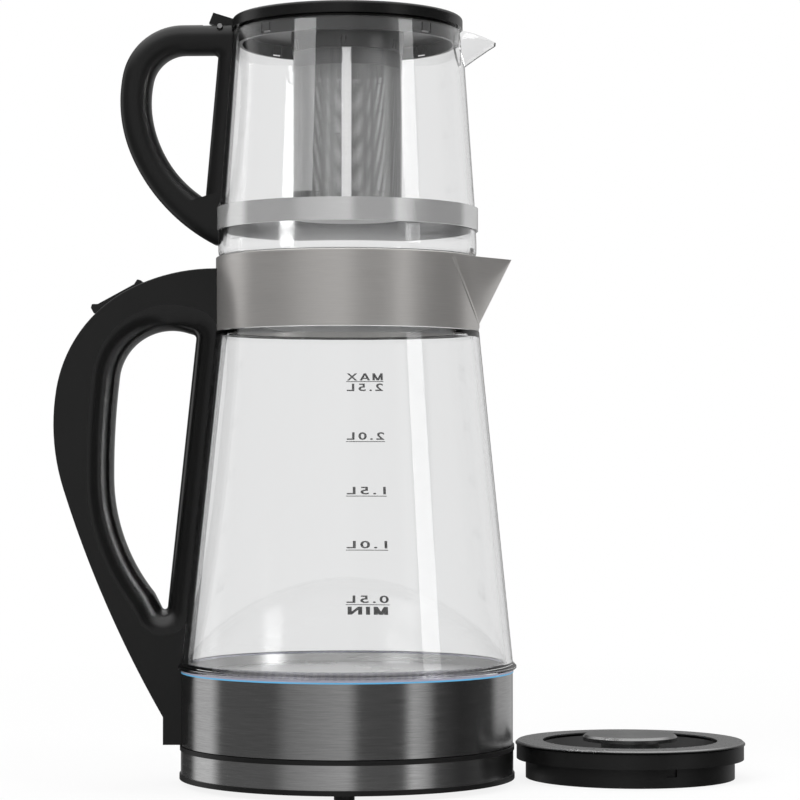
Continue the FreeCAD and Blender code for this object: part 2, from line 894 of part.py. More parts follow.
def collar():
    ring = turned("collar_ring", [
        (liner_outside, collar_low), (collar_radius, collar_low),
        (collar_radius, collar_top, s.edge_break), (liner_outside, collar_top),
    ])
    node(cut("collar", ring, window("collar_window"), *handle_screw_holes("collar")), "collar_band")
    outside = liner_outside - s.pin_clearance
    rim_top = collar_top - s.loose_gap
    rim_inside = liner_outside - s.liner_rim_wall
    skirt_low = seat_top - s.mouth_depth
    seat_low = seat_top - s.seat_thickness
    liner = turned("liner", [
        (outside, liner_low), (outside, rim_top), (rim_inside, rim_top),
        (rim_inside, seat_top + s.seat_slope), (rim_inside - s.seat_slope, seat_top),
        (mouth_radius, seat_top), (mouth_radius, skirt_low), (mouth_outside, skirt_low),
        (mouth_outside, seat_low), (liner_inside, seat_low), (liner_inside, liner_low),
    ])
    node(cut("liner_open", liner, window("liner_window"), *handle_screw_holes("liner")), "collar_liner")


def nose(name, inset, lift):
    """A cone from the tip to the slanting line where the spout meets the collar, with a level top."""
    radius = number(collar_radius)
    low = number(collar_low + s.spout_low)
    level = number(collar_top - s.spout_top) - low
    centre_up = level / (number(s.spout_side) / radius)
    side = math.acos(1 - (level + lift) / centre_up)
    slope = number(s.spout_reach) / level
    back = inset * -0.2
    centre = V(back, 0, low + centre_up)
    foot = V(back + radius - inset, 0, low)
    beside = V(back, radius - inset, low + centre_up)
    arc = Part.ArcOfEllipse(Part.Ellipse(foot, beside, centre), -side, side).toShape()
    chord = Part.makeLine(arc.Vertexes[-1].Point, arc.Vertexes[0].Point)
    tip_x = radius + number(s.spout_reach) + lift * slope - inset * math.hypot(1, slope)
    tip = V(tip_x, 0, low + level + lift + number(s.spout_tip_rise))
    made = doc.addObject("Part::Feature", name)
    made.Shape = Part.makeLoft([Part.Wire([arc, chord]), Part.Vertex(tip)], True, True)
    return made


def spout():
    """A rolled sheet nose that leaves the collar on a slant and narrows to its tip."""
    outside = nose("spout_outside", 0.0, 0.0)
    inside = nose("spout_inside", number(s.sheet_wall), number(s.spout_top) * 2)
    wall = disc("spout_tool", collar_radius + s.pin_clearance, collar_low, collar_top + s.spout_reach)
    node(cut("spout", outside, inside, wall), "pouring_spout")


def kettle_envelope(name):
    """Everything that the kettle's wall takes up, for pieces that hug it."""
    gap = s.pin_clearance
    over = collar_top + s.spout_reach
    return turned(name, [
        (0, 0), (band_radius + gap, 0), (band_radius + gap, band_top), (light_radius + gap, band_top),
        (light_radius + gap, glass_low), (flange_radius + gap, glass_low + gap),
        (flange_radius + gap, glass_low + s.flange_rise), (band_radius + gap * 2, glass_foot + gap),
        (glass_top_radius + gap * 2, glass_top), (collar_radius + gap, collar_low),
        (collar_radius + gap, over), (0, over),
    ])


def reach(distance):
    """A handle point's place out from the collar."""
    return -(collar_radius + distance)


def drop(distance):
    """A handle point's place below the collar's top."""
    return collar_top - distance


def lift(distance):
    """A handle point's place above the foot of the kettle's band."""
    return band_low + distance


def finger_loop(sketch):
    """The opening between the kettle's handle and its wall."""
    outline = Outline(sketch, (reach(s.loop_foot_reach), lift(s.loop_foot_lift)), s.loop_foot_rounding)
    outline.line(reach(s.loop_head_reach), drop(s.loop_head_drop), s.loop_head_rounding)
    outline.line(reach(s.loop_crown_reach), drop(s.loop_crown_drop))
    outline.arc(reach(s.loop_shoulder_reach), drop(s.loop_shoulder_drop))
    outline.arc(reach(s.loop_back_reach), drop(s.loop_back_drop))
    outline.arc(reach(s.loop_tail_reach), lift(s.loop_tail_lift))
    return outline.close()


def kettle_handle():
    """The whole handle in one piece, with its inner edge rounded over like a bullnose."""
    body, planes = new_body("handle_body")
    sketch = sketch_on(body, planes["XZ_Plane"], "handle_outline")
    foot_x = -(band_radius + s.handle_foot_reach)
    foot_low = band_low + s.gasket_gap
    outline = Outline(sketch, (reach(-s.handle_depth), drop(s.handle_root_drop)))
    outline.line(reach(0.0), drop(s.handle_root_drop))
    outline.arc(reach(s.handle_crown_reach), drop(s.handle_crown_drop))
    outline.arc(reach(s.handle_shoulder_reach), drop(s.handle_shoulder_drop))
    outline.arc(reach(s.handle_back_reach), drop(s.handle_back_drop))
    outline.arc(foot_x, lift(s.handle_foot_lift))
    outline.line(foot_x, foot_low)
    outline.line(-(band_radius - s.handle_depth), foot_low)
    outline.close()
    finger_loop(sketch)
    pad = body.newObject("PartDesign::Pad", "handle_pad")
    pad.Profile = sketch
    bind(pad, "Length", s.handle_width)
    pad.SideType = "Symmetric"
    doc.recompute()
    nose = body.newObject("PartDesign::Fillet", "handle_bullnose")
    nose.Base = (pad, handle_edges(pad.Shape)[0])
    bind(nose, "Radius", s.bullnose)
    doc.recompute()
    edge = body.newObject("PartDesign::Fillet", "handle_edge")
    edge.Base = (nose, handle_edges(nose.Shape)[1])
    bind(edge, "Radius", s.edge_break)
    body.Tip = edge
    doc.recompute()
    return body


def handle_edges(shape):
    """Names of the side edges around the finger loop, and around the outside."""
    half = number(s.handle_width) / 2
    far = number(reach((s.loop_back_reach + s.handle_back_reach) / 2))
    low = number(lift((s.loop_foot_lift + s.handle_foot_lift) / 2))
    high = number(drop((s.loop_crown_drop + s.handle_crown_drop) / 2))
    near = number(reach(-s.edge_break))
    loop, rim = [], []
    for index, edge in enumerate(shape.Edges, start=1):
        box = edge.BoundBox
        on_side = abs(abs(box.YMin) - half) < 1e-4 and abs(box.YMax - box.YMin) < 1e-4
        if not on_side or box.XMin > near:
            continue
        in_loop = box.XMin > far and box.ZMin > low and box.ZMax < high
        (loop if in_loop else rim).append(f"Edge{index}")
    return loop, rim


def handle_screw_spots():
    """The two screws that hold the handle to the collar, one on each side of its middle."""
    for i, side in enumerate((-1, 1)):
        yield i, s.handle_screw_side * side, drop(s.handle_screw_drop)


def handle_screw_holes(name):
    return [
        rod(f"{name}_screw_hole_{i}", screw_hole, (reach(s.handle_depth), y, z), s.handle_depth * 2,
            V(1, 0, 0))
        for i, y, z in handle_screw_spots()
    ]


def handle_screws():
    start = s.handle_screw_seat - liner_inside
    screws = [
        screw(f"handle_screw_{i}", (start + s.screw_head_height, y, z), s.handle_screw_length, V(-1, 0, 0))
        for i, y, z in handle_screw_spots()
    ]
    node(group("handle_screw_pair", screws), "handle_screws")


def split_handle(whole):
    """Parts the handle into a polished grip around the loop and a matt shell around that."""
    fitted = cut("handle_fitted", whole, kettle_envelope("handle_wall"))
    loop = doc.addObject("Sketcher::SketchObject", "loop_outline")
    loop.Placement = FreeCAD.Placement(V(), FreeCAD.Rotation(V(1, 0, 0), 90))
    finger_loop(loop)
    wide = doc.addObject("Part::Offset2D", "loop_wide")
    wide.Source = loop
    bind(wide, "Value", s.bullnose + s.split_margin)
    wide.Join = "Arc"
    region = doc.addObject("Part::Extrusion", "grip_region")
    region.Base = wide
    region.DirMode = "Custom"
    region.Dir = V(0, 1, 0)
    bind(region, "LengthFwd", s.handle_width * 2)
    region.Symmetric = True
    region.Solid = True
    return common("grip", fitted, region), cut("outer_shell", fitted, region)


def rocker_frame(along, out):
    """A point in the rocker's own frame: along the handle's back, and out of it."""
    c, n = math.cos(math.radians(ROCKER_TILT)), math.sin(math.radians(ROCKER_TILT))
    return (reach(s.rocker_reach) + (c * along - n * out), drop(s.rocker_drop) + (n * along + c * out))


def rocker_section(name, corners, width):
    body, planes = new_body(name)
    sketch = sketch_on(body, planes["XZ_Plane"], f"{name}_outline")
    draw(sketch, [(*rocker_frame(a, o), *rest) for a, o, *rest in corners])
    pad = body.newObject("PartDesign::Pad", f"{name}_pad")
    pad.Profile = sketch
    bind(pad, "Length", width)
    pad.SideType = "Symmetric"
    return body


def rocker_axle(name, radius, width):
    x, z = rocker_frame(0, -s.rocker_pin_drop)
    return rod(name, radius, (x, width * -0.5, z), width, V(0, 1, 0))


def rocker(shell):
    """The switch key with its two raised ends, its pin, and the switch below it."""
    half = s.rocker_length / 2
    middle = half * 0.4
    ear = half - s.rocker_ear
    shoulder_out = s.rocker_peak - s.rocker_chamfer
    end = half - s.rocker_chamfer
    key = rocker_section("rocker_key", [
        (-half, -s.rocker_side), (-middle, -s.rocker_belly), (middle, -s.rocker_belly),
        (half, -s.rocker_side), (half, shoulder_out), (end, s.rocker_peak, s.edge_break),
        (ear, s.rocker_saddle), (-ear, s.rocker_saddle), (-end, s.rocker_peak, s.edge_break),
        (-half, shoulder_out),
    ], s.rocker_width)
    bore = rocker_axle("rocker_bore", s.rocker_pin_radius + s.pin_clearance, s.rocker_width * 1.5)
    node(cut("rocker_drilled", key, bore), "handle_rocker")
    pin_length = s.rocker_width * 1.2
    node(rocker_axle("rocker_axle", s.rocker_pin_radius, pin_length), "rocker_pin")
    room = half + s.rocker_room
    floor = s.pocket_depth
    pocket = rocker_section("rocker_pocket", [
        (-room, -s.pocket_side), (-middle, -floor), (middle, -floor), (room, -s.pocket_side),
        (room, floor), (-room, floor),
    ], s.rocker_width + s.rocker_gap * 2)
    low = s.gasket_gap - floor
    high = low + s.switch_height
    module = rocker_section("switch_block", [
        (-middle, low), (middle, low), (middle, high), (-middle, high),
    ], s.switch_width)
    node(module, "switch_module")
    seat = rocker_axle("rocker_seat", s.rocker_pin_radius, pin_length)
    return cut("shell_open", shell, pocket, seat)


def loom(name, radius):
    """A round lead down the inside of the handle's back, from the switch to the heater."""
    stops = [
        (reach(s.loom_top_reach), drop(s.loom_top_drop)), (reach(s.loom_bend_reach), drop(s.loom_bend_drop)),
        (reach(s.loom_shoulder_reach), drop(s.loom_shoulder_drop)),
        (reach(s.loom_back_reach), drop(s.loom_back_drop)),
        (reach(s.loom_foot_reach), lift(s.loom_foot_lift)), (reach(s.loom_end_reach), lift(s.loom_end_lift)),
    ]
    path = doc.addObject("Sketcher::SketchObject", f"{name}_path")
    path.Placement = FreeCAD.Placement(V(), FreeCAD.Rotation(V(1, 0, 0), 90))
    run = Outline(path, stops[0])
    flat = [V(number(x), number(y), 0) for x, y in stops]
    lead = flat[1] - flat[0]
    first = path.addGeometry(Part.LineSegment(flat[0], flat[1]))
    run.hold(first, 1, stops[0])
    before, heading = (first, 2), V(lead).normalize()
    for i in range(1, len(stops) - 1):
        arc, ends_at, heading = run.tangent_arc(flat[i], flat[i + 1], heading)
        made = path.addGeometry(arc)
        run.rule("Tangent", before[0], before[1], made, ends_at[0])
        run.hold(before[0], before[1], stops[i])
        before = (made, ends_at[1])
    run.hold(before[0], before[1], stops[-1])
    doc.recompute()
    ring = Part.makeCircle(number(radius), V(flat[0].x, 0, flat[0].y), V(lead.x, 0, lead.y))
    spine = Part.Wire(Part.__sortEdges__(path.Shape.Edges))
    swept = doc.addObject("Part::Feature", name)
    swept.Shape = spine.makePipeShell([Part.Wire(ring)], True, True)
    return swept


def handle():
    grip, shell = split_handle(kettle_handle())
    node(cut("grip_drilled", grip, *handle_screw_holes("grip")), "kettle_handle_grip")
    shell = rocker(shell)
    node(loom("wires", s.loom_radius), "handle_wires")
    channel = loom("wire_channel", s.loom_radius + s.loom_gap)
    node(cut("shell_finished", shell, channel, *handle_screw_holes("shell")), "kettle_handle_shell")
    handle_screws()


def pot_side(grow=0.0):
    """The teapot's side from its flat bottom to its rim."""
    return [
        (pot_radius + grow, pot_low), (pot_radius + grow, pot_low + s.pot_straight),
        (shoulder_radius + grow, shoulder), (rim_radius + grow, pot_top),
    ]


def teapot_glass():
    wall = s.pot_wall
    inner_low = pot_low + s.pot_floor
    over = pot_top + s.lip_drop * 2
    jar = turned("jar", [
        (0, pot_low), (pot_radius, pot_low, s.pot_corner), *pot_side()[1:],
        *reversed(pot_side(-wall)[1:]), (pot_radius - wall, inner_low, s.pot_corner - wall),
        (0, inner_low),
    ])
    bore = turned("jar_bore", [
        (0, shoulder), (shoulder_radius - wall, shoulder), (rim_radius - wall, pot_top),
        (rim_radius - wall, over), (0, over),
    ])
    outside = lip("lip_outside", 0.0)
    inside = lip("lip_inside", number(wall))
    node(cut("jar_open", fuse("jar_with_lip", jar, outside), inside, bore), "teapot_glass")


def lip(name, inset):
    """The pulled pouring lip: a shallow horn that narrows to its tip."""
    root = number(rim_radius - s.lip_root)
    length = number(s.lip_reach + s.lip_root)
    rise = number(s.lip_drop) * 0.6 if inset else 0.0
    thinnest = number(s.edge_break)
    sections = []
    for share in (0.0, 0.5, 1.0):
        x = root + length * share - inset * 0.6 * share
        crown = number(pot_top) - number(s.lip_drop) * share * share + rise
        depth = number(s.lip_depth) * (1 - share) ** 0.9 + number(s.lip_tip_depth) - inset * 0.9
        half = number(s.lip_half_width) * (1 - share) ** 0.7 + number(s.lip_wing) - inset
        half = max(half, thinnest)
        height = rise + max(depth, thinnest)
        points = []
        for step in range(13):
            turn = math.pi * step / 12
            points.append(V(x, -half * math.cos(turn), crown - height * math.sin(turn) ** 0.8))
        points[0].z = points[-1].z = crown
        curve = Part.BSplineCurve()
        curve.interpolate(points)
        sections.append(Part.Wire([curve.toShape(), Part.LineSegment(points[-1], points[0]).toShape()]))
    made = doc.addObject("Part::Feature", name)
    made.Shape = Part.makeLoft(sections, True, False)
    return made


def pot_envelope(name):
    """Everything that the teapot and its lid take up, for the handle that hugs them."""
    gap = s.pin_clearance
    side = pot_side(gap)
    under = pot_low - s.grip_depth
    over = pot_top + s.grip_depth * 2
    low = pot_low + s.pot_band_low
    clear = lid_radius + s.lid_clearance
    return turned(name, [
        (0, under), (pot_radius + gap, under), side[1], (pot_radius + gap, low),
        (pot_band_radius + gap, low), (pot_band_radius + gap, low + s.pot_band_height), side[2], side[3],
        (clear, pot_top), (clear, over), (0, over),
    ])


def teapot_band():
    low = pot_low + s.pot_band_low
    ring = tube("pot_ring", pot_radius - s.pot_band_depth, pot_band_radius, low, low + s.pot_band_height)
    core = turned("pot_ring_core", [(0, pot_low), *pot_side(s.pin_clearance), (0, pot_top)])
    node(cut("pot_ring_cut", ring, core), "teapot_band")


def out(distance):
    """A teapot handle point's place out from the teapot's rim."""
    return -(rim_radius + distance)


def teapot_handle():
    body, planes = new_body("pot_grip")
    sketch = sketch_on(body, planes["XZ_Plane"], "pot_grip_outline")
    outline = Outline(sketch, (out(-s.grip_depth), pot_top + s.ear_top))
    outline.line(out(s.crown_reach), pot_top + s.crown_top)
    outline.arc(out(s.back_reach), pot_top - s.back_drop)
    outline.arc(out(s.belly_reach), pot_low + s.belly_lift)
    outline.arc(out(s.tail_reach), pot_low + s.tail_lift)
    outline.line(out(s.tail_end_reach), pot_low + s.tail_end_lift)
    outline.line(out(-s.grip_depth), pot_low + s.tail_end_lift)
    outline.close()
    hole = Outline(sketch, (out(s.hole_foot_reach), pot_low + s.hole_foot_lift))
    hole.line(out(s.hole_head_reach), pot_top - s.hole_head_drop, s.hole_head_rounding)
    hole.line(out(s.hole_crown_reach), pot_top - s.hole_crown_drop)
    hole.arc(out(s.hole_back_reach), pot_top - s.hole_back_drop)
    hole.arc(out(s.hole_belly_reach), pot_low + s.hole_belly_lift)
    hole.arc(out(s.hole_tail_reach), pot_low + s.hole_tail_lift)
    hole.close()
    pad = body.newObject("PartDesign::Pad", "pot_grip_pad")
    pad.Profile = sketch
    bind(pad, "Length", s.grip_width)
    pad.SideType = "Symmetric"
    doc.recompute()
    soft = body.newObject("PartDesign::Fillet", "pot_grip_rounding")
    soft.Base = (pad, grip_edges(pad.Shape))
    bind(soft, "Radius", s.grip_rounding)
    body.Tip = soft
    doc.recompute()
    node(cut("pot_grip_fitted", body, pot_envelope("pot_wall_tool"), *hinge_slots()), "teapot_handle")


def grip_edges(shape):
    """Names of the side edges of the teapot handle's bow."""
    half = number(s.grip_width) / 2
    bow = number(out(s.hole_crown_reach + s.edge_break))
    names = []
    for index, edge in enumerate(shape.Edges, start=1):
        box = edge.BoundBox
        on_side = abs(abs(box.YMin) - half) < 1e-4 and abs(box.YMax - box.YMin) < 1e-4
        if on_side and box.XMin < bow:
            names.append(f"Edge{index}")
    return names


def hinge_slots():
    """Room in the handle's head for the lid's arm, and open slots for the hinge pin."""
    room = s.ear_room
    ear = block("ear_slot_tool", (hinge_x - room, s.ear_width * -0.5, hinge_height - room),
                (room * 3, s.ear_width, room * 3))
    reach_in = s.hinge_pin_radius + s.loose_gap
    pin = block("pin_slot_tool", (hinge_x - reach_in, -s.grip_width, hinge_height - reach_in),
                (reach_in * 2, s.grip_width * 2, room * 2))
    return ear, pin


def hinge_rod(name, radius, side, start, length):
    """A round piece on the hinge axis, on one side of the middle."""
    y = start if side > 0 else -start - length
    return rod(name, radius, (hinge_x, y, hinge_height), length, V(0, 1, 0))


def infuser_ring():
    """The ring under the teapot's lid, with its snap tabs and its hinge arm."""
    ring = turned("ring_shape", [
        (ring_radius, ring_low), (ring_radius, ring_top), (cuff_inside, ring_top),
        (cuff_inside, roof_low), (ring_inside, roof_low), (ring_inside, ring_low),
    ])
    slits = []
    depth = s.ring_wall * 3
    start = ring_inside - s.ring_wall
    low = ring_low + s.slit_rise
    for i, x, y in around(4, 45):
        half = s.snap_width / 2
        slits += [
            swung_block(f"snap_left_{i}", (start, half, low), (depth, s.slit_width, s.slit_height), x, y),
            swung_block(f"snap_right_{i}", (start, -half - s.slit_width, low),
                        (depth, s.slit_width, s.slit_height), x, y),
            swung_block(f"snap_foot_{i}", (start, -half, low), (depth, s.snap_width, s.slit_width), x, y),
        ]
    half = s.arm_width / 2
    knuckle_out = s.hinge_pin_radius + s.knuckle_wall
    knuckles = [
        hinge_rod(f"ring_knuckle_{side}", knuckle_out, side, half - s.knuckle_wall, s.knuckle_wall)
        for side in (-1, 1)
    ]
    arm = block("ring_arm", (hinge_x - s.knuckle_wall, -half, ring_top - s.arm_thickness),
                (s.arm_length, s.arm_width, s.arm_thickness))
    room = rod("knuckle_room", knuckle_out + s.knuckle_gap, (hinge_x, s.knuckle_wall - half, hinge_height),
               s.arm_width - s.knuckle_wall * 2, V(0, 1, 0))
    bore = rod("knuckle_bore", s.hinge_pin_radius, (hinge_x, -s.arm_width, hinge_height),
               s.arm_width * 2, V(0, 1, 0))
    whole = fuse("ring_whole", ring, arm, *knuckles)
    node(cut("ring_cut", whole, room, bore, *slits), "infuser_ring")
    pin = rod("pin_bar", s.hinge_pin_radius, (hinge_x, s.grip_width * -0.5, hinge_height), s.grip_width,
              V(0, 1, 0))
    node(pin, "lid_hinge_pin")


def infuser():
    """The basket that hangs from the ring: a black cuff, a mesh wall and a steel cap."""
    cuff = turned("cuff_shape", [
        (mesh_inside, cuff_low), (s.infuser_radius + s.swivel_gap, cuff_low),
        (cuff_radius, roof_low - s.cuff_chamfer), (cuff_radius, roof_low), (mesh_inside, roof_low),
    ])
    vents = []
    for i, x, y in around(6, 27):
        for side in (-1, 1):
            edge = (s.vent_spacing * side - s.slit_width) / 2
            corner = (mesh_inside - s.cuff_step, edge, cuff_low + s.vent_rise)
            size = (s.cuff_wall * 2, s.slit_width, s.vent_height)
            vents.append(swung_block(f"vent_{i}_{side}", corner, size, x, y))
    node(cut("cuff_vented", cuff, *vents), "infuser_collar")
    node(tube("basket_wall", mesh_inside, s.infuser_radius, mesh_low, cuff_low), "infuser_mesh")
    cap_radius = s.infuser_radius + s.cap_step
    rim_inside = mesh_inside - s.cap_floor
    rim_outside = mesh_inside - s.pin_clearance
    cap = turned("basket_cap", [
        (0, mesh_low - s.cap_floor), (cap_radius, mesh_low - s.cap_floor), (cap_radius, mesh_low),
        (rim_outside, mesh_low), (rim_outside, mesh_low + s.cap_rim), (rim_inside, mesh_low + s.cap_rim),
        (rim_inside, mesh_low), (0, mesh_low),
    ])
    node(cap, "infuser_base")


def teapot_lid():
    """The lid's disc with the thumb tab that stands over the hinge."""
    plate = turned("lid_plate_shape", [
        (0, lid_low), (lid_radius, lid_low), (lid_radius, lid_top, s.lid_rounding), (0, lid_top),
    ])
    body, planes = new_body("lid_tab_body")
    sketch = sketch_on(body, planes["XZ_Plane"], "lid_tab_outline")
    pin = s.hinge_pin_radius
    tip = s.tab_length
    draw(sketch, [
        (hinge_x - tip, hinge_height + tip * 0.4), (hinge_x - pin * 1.6, hinge_height + pin),
        (hinge_x - pin * 1.9, hinge_height - pin * 1.3), (hinge_x + pin * 1.8, hinge_height - pin * 1.1),
        (hinge_x + pin * 2.6, lid_low), (hinge_x + s.tab_root, lid_low), (hinge_x + s.tab_root, lid_top),
        (hinge_x + tip, lid_top), (hinge_x - tip * 0.63, hinge_height + s.tab_height),
    ])
    pad = body.newObject("PartDesign::Pad", "lid_tab_pad")
    pad.Profile = sketch
    knuckle = s.knuckle_wall + s.knuckle_gap
    bind(pad, "Length", s.arm_width - knuckle * 2)
    pad.SideType = "Symmetric"
    bore = rod("lid_bore", pin + s.pin_clearance, (hinge_x, -s.arm_width, hinge_height), s.arm_width * 2,
               V(0, 1, 0))
    node(cut("lid_drilled", fuse("lid_whole", plate, body), bore), "teapot_lid")
    seal_outside = ring_inside - s.lid_seal_inset
    node(tube("lid_seal", seal_outside - s.lid_seal_width, seal_outside, ring_top, lid_low),
         "teapot_lid_gasket")


def kettle_lid():
    """The kettle's own lid, which stands on the counter beside the base."""
    centre = (s.base_radius + s.lid_gap_to_base + flat_lid_radius, s.kettle_lid_shift, 0)

    def put(obj, label):
        place(obj, centre, FreeCAD.Rotation())
        return node(obj, label)

    edge_low = s.flat_lid_height - s.flat_lid_edge
    dish_low = s.flat_lid_height - s.dish_depth
    dish_under = dish_low - s.dish_floor
    dish_inside = dish_radius - s.dish_slope
    skirt_inside = skirt_radius - s.skirt_wall
    lip_radius = flat_lid_radius - s.edge_break
    stem_top = s.knob_top - s.knob_plate
    bevel = s.flat_lid_bevel
    skirt = turned("lid_body_shape", [
        (skirt_inside, 0), (skirt_radius, 0), (skirt_radius, s.skirt_height),
        (lip_radius, s.skirt_height), (lip_radius, edge_low), (dish_radius, edge_low),
        (dish_inside, dish_low), (0, dish_low), (0, dish_under), (dish_inside, dish_under),
        (skirt_inside, edge_low - s.skirt_wall),
    ])
    notches = [
        swung_block(f"skirt_notch_{i}", (skirt_radius - s.notch_depth, s.notch_width * -0.5,
                                         s.skirt_height - s.notch_height),
                    (s.notch_depth * 2, s.notch_width, s.notch_height), x, y)
        for i, x, y in around(3, NOTCH_TURN)
    ]
    plate = turned("lid_flange_shape", [
        (dish_radius, edge_low), (flat_lid_radius, edge_low), (flat_lid_radius, edge_low + bevel / 2),
        (flat_lid_radius - bevel, s.flat_lid_height), (dish_radius, s.flat_lid_height),
    ])
    knob = turned("knob_shape", [
        (0, dish_low), (s.knob_stem_radius, dish_low), (s.knob_stem_radius, stem_top),
        (s.knob_radius, stem_top), (s.knob_radius, s.knob_top - bevel),
        (s.knob_radius - bevel, s.knob_top), (0, s.knob_top),
    ])
    screws, body_holes, knob_holes = [], [], []
    circle = s.knob_stem_radius * 0.7
    head_low = dish_under - s.screw_head_height
    thread_top = dish_low + s.knob_thread
    for i, x, y in around(3):
        spot = (circle * x, circle * y)
        screws.append(screw(f"lid_screw_{i}", (*spot, head_low), thread_top - head_low))
        body_holes.append(rod(f"lid_hole_{i}", screw_hole, (*spot, 0), dish_low))
        knob_holes.append(rod(f"knob_hole_{i}", screw_hole, (*spot, 0), thread_top))
    put(cut("lid_body_cut", skirt, *notches, *body_holes), "kettle_lid_body")
    put(plate, "kettle_lid_plate")
    put(cut("knob_drilled", knob, *knob_holes), "kettle_lid_knob")
    put(group("lid_screws", screws), "kettle_lid_screws")


def build():
    base_feet()
    base_shell()
    base_ring_and_deck()
    cord_gland()
    base_socket()
    kettle_connector()
    kettle_base()
    heater()
    kettle_glass()
    collar()
    spout()
    handle()
    teapot_glass()
    teapot_band()
    teapot_handle()
    infuser_ring()
    infuser()
    teapot_lid()
    kettle_lid()
    doc.recompute()


def check_and_write():
    for obj in doc.Objects:
        if "Invalid" in obj.State or "Error" in obj.State:
            raise RuntimeError(f"{obj.Label} failed: {obj.State}")
    for obj in PIECES:
        shape = obj.Shape
        if shape.isNull() or not shape.isValid() or not shape.Solids:
            raise RuntimeError(f"{obj.Label} has no valid solid")
        print(obj.Label, len(shape.Solids), round(shape.Volume, 1))
    os.makedirs("parts", exist_ok=True)
    for obj in PIECES:
        obj.Shape.exportStep(os.path.join("parts", f"{obj.Label}.step"))


build()
check_and_write()
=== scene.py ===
import math
import bmesh
import bpy
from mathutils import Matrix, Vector


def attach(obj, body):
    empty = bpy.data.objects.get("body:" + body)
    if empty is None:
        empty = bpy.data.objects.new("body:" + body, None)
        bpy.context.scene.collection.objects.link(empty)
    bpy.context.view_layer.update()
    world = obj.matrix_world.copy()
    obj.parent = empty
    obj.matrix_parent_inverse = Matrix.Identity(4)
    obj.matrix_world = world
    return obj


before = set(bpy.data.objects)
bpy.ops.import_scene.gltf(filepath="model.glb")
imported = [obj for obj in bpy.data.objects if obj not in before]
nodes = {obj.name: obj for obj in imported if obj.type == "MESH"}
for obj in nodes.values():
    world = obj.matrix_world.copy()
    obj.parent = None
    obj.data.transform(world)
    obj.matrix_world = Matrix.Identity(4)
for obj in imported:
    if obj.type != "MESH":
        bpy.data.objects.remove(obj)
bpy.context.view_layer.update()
MM = 0.001

# The camera stands in front of the object, a little below its middle, and looks slightly up.
CAMERA_AT = (0.02679, -1.38918, 0.15860)
CAMERA_PITCH = 1.46947
CAMERA_LENS = 122.68
SENSOR = 36.0

# What polished steel sees round the room: (degrees from the camera towards the right, brightness).
ROOM_BANDS = [
    (-180, 0.26), (-168, 0.20), (-158, 0.04), (-134, 0.04), (-126, 0.55), (-106, 0.60), (-96, 0.10),
    (-50, 0.10), (-40, 0.22), (2, 0.38), (9, 0.09), (40, 0.08), (46, 0.54), (57, 0.34), (64, 0.07),
    (85, 0.03), (118, 0.06), (128, 0.40), (160, 0.44), (170, 0.26), (180, 0.26),
]

# Brightness, where 1 is white: the room through glass, the room's light on matte things, the floor.
THROUGH_GLASS = 0.86
ROOM_LIGHT = 0.55
FLOOR_SHADE = 0.86

# Sizes in the CAD model that paint and trim line up with, in millimetres.
MESH_RADIUS = 27.7
LID_DISH_EDGE = 18.6
LIGHT_LINE_TOP = 56.95
LIGHT_RING_RADIUS = 83.4
BODY_BAND_RADIUS = 84.08
POT_BAND_RADIUS = 66.58
COLLAR_RADIUS = 67.0

# A straight glass wall: its outer radius and height at the foot, then at the top, in millimetres.
KETTLE_WALL = ((84.1, 61.6), (67.2, 228.6))
POT_WALL = ((64.8, 295.2), (58.7, 381.3))
INK_LIFT = 0.06

# The printed levels, in millimetres above the counter.
LITRE_LEVELS = [("2.5L", 205.9), ("2.0L", 173.9), ("1.5L", 144.7), ("1.0L", 115.7), ("0.5L", 86.3)]
CUP_LEVELS = [364.3, 349.5, 336.4, 321.7, 306.9]

PAINTS = {}


